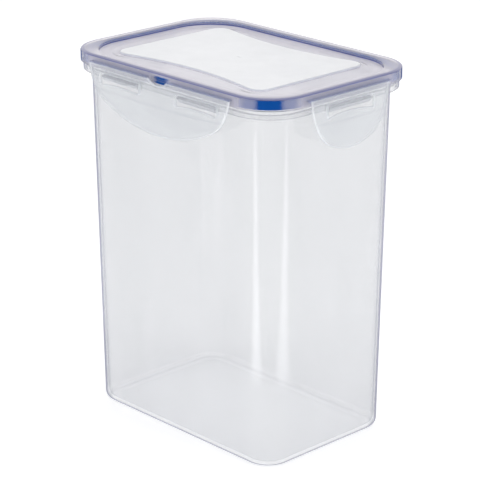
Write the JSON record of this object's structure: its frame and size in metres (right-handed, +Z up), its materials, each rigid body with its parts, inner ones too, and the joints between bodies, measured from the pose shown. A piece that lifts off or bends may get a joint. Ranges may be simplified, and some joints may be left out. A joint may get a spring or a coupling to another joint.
{
  "type": "food canister",
  "caption": "Tall rectangular translucent food container with a gasket-sealed lid and hinged snap flaps whose slots lock over lugs on the rim collar.",
  "frame": {"origin": "centre of the base, on the surface that it stands on", "axes": "+X along the long side, +Y along the short side towards the back, +Z up"},
  "size_m": [0.1504, 0.1068, 0.185],
  "materials": {
    "clear_polypropylene": "translucent milky polypropylene, glossy outside, faintly hazy",
    "blue_silicone": "smooth satin silicone"
  },
  "bodies": {
    "container": {"container": "clear_polypropylene", "container_rim": "clear_polypropylene", "locking_lugs": "clear_polypropylene"},
    "lid": {"lid": "clear_polypropylene", "gasket": "blue_silicone"},
    "front_hinge_film": {"front_hinge_film": "clear_polypropylene"},
    "front_flap": {"front_flap": "clear_polypropylene"},
    "right_hinge_film": {"right_hinge_film": "clear_polypropylene"},
    "right_flap": {"right_flap": "clear_polypropylene"},
    "back_hinge_film": {"back_hinge_film": "clear_polypropylene"},
    "back_flap": {"back_flap": "clear_polypropylene"},
    "left_hinge_film": {"left_hinge_film": "clear_polypropylene"},
    "left_flap": {"left_flap": "clear_polypropylene"}
  },
  "joints": [
    {"name": "lid_lift", "type": "slide", "parent": "container", "child": "lid", "axis": [0, 0, 1], "range_m": [0, 0.012]},
    {"name": "front_film_fold", "type": "hinge", "parent": "lid", "child": "front_hinge_film", "pos_m": [0, -0.0507, 0.1823], "axis": [-1, 0, 0], "range_deg": [0, 80]},
    {"name": "front_flap_fold", "type": "hinge", "parent": "front_hinge_film", "child": "front_flap", "pos_m": [0, -0.0523, 0.1823], "axis": [-1, 0, 0], "range_deg": [0, 90]},
    {"name": "right_film_fold", "type": "hinge", "parent": "lid", "child": "right_hinge_film", "pos_m": [0.0725, 0, 0.1823], "axis": [0, -1, 0], "range_deg": [0, 80]},
    {"name": "right_flap_fold", "type": "hinge", "parent": "right_hinge_film", "child": "right_flap", "pos_m": [0.0741, 0, 0.1823], "axis": [0, -1, 0], "range_deg": [0, 90]},
    {"name": "back_film_fold", "type": "hinge", "parent": "lid", "child": "back_hinge_film", "pos_m": [0, 0.0507, 0.1823], "axis": [1, 0, 0], "range_deg": [0, 80]},
    {"name": "back_flap_fold", "type": "hinge", "parent": "back_hinge_film", "child": "back_flap", "pos_m": [0, 0.0523, 0.1823], "axis": [1, 0, 0], "range_deg": [0, 90]},
    {"name": "left_film_fold", "type": "hinge", "parent": "lid", "child": "left_hinge_film", "pos_m": [-0.0725, 0, 0.1823], "axis": [0, 1, 0], "range_deg": [0, 80]},
    {"name": "left_flap_fold", "type": "hinge", "parent": "left_hinge_film", "child": "left_flap", "pos_m": [-0.0741, 0, 0.1823], "axis": [0, 1, 0], "range_deg": [0, 90]}
  ],
  "couplings": [
    {"joint": "front_film_fold", "follows": "lid_lift", "rad_per_m": 116.34},
    {"joint": "right_film_fold", "follows": "lid_lift", "rad_per_m": 116.34},
    {"joint": "back_film_fold", "follows": "lid_lift", "rad_per_m": 116.34},
    {"joint": "left_film_fold", "follows": "lid_lift", "rad_per_m": 116.34}
  ]
}
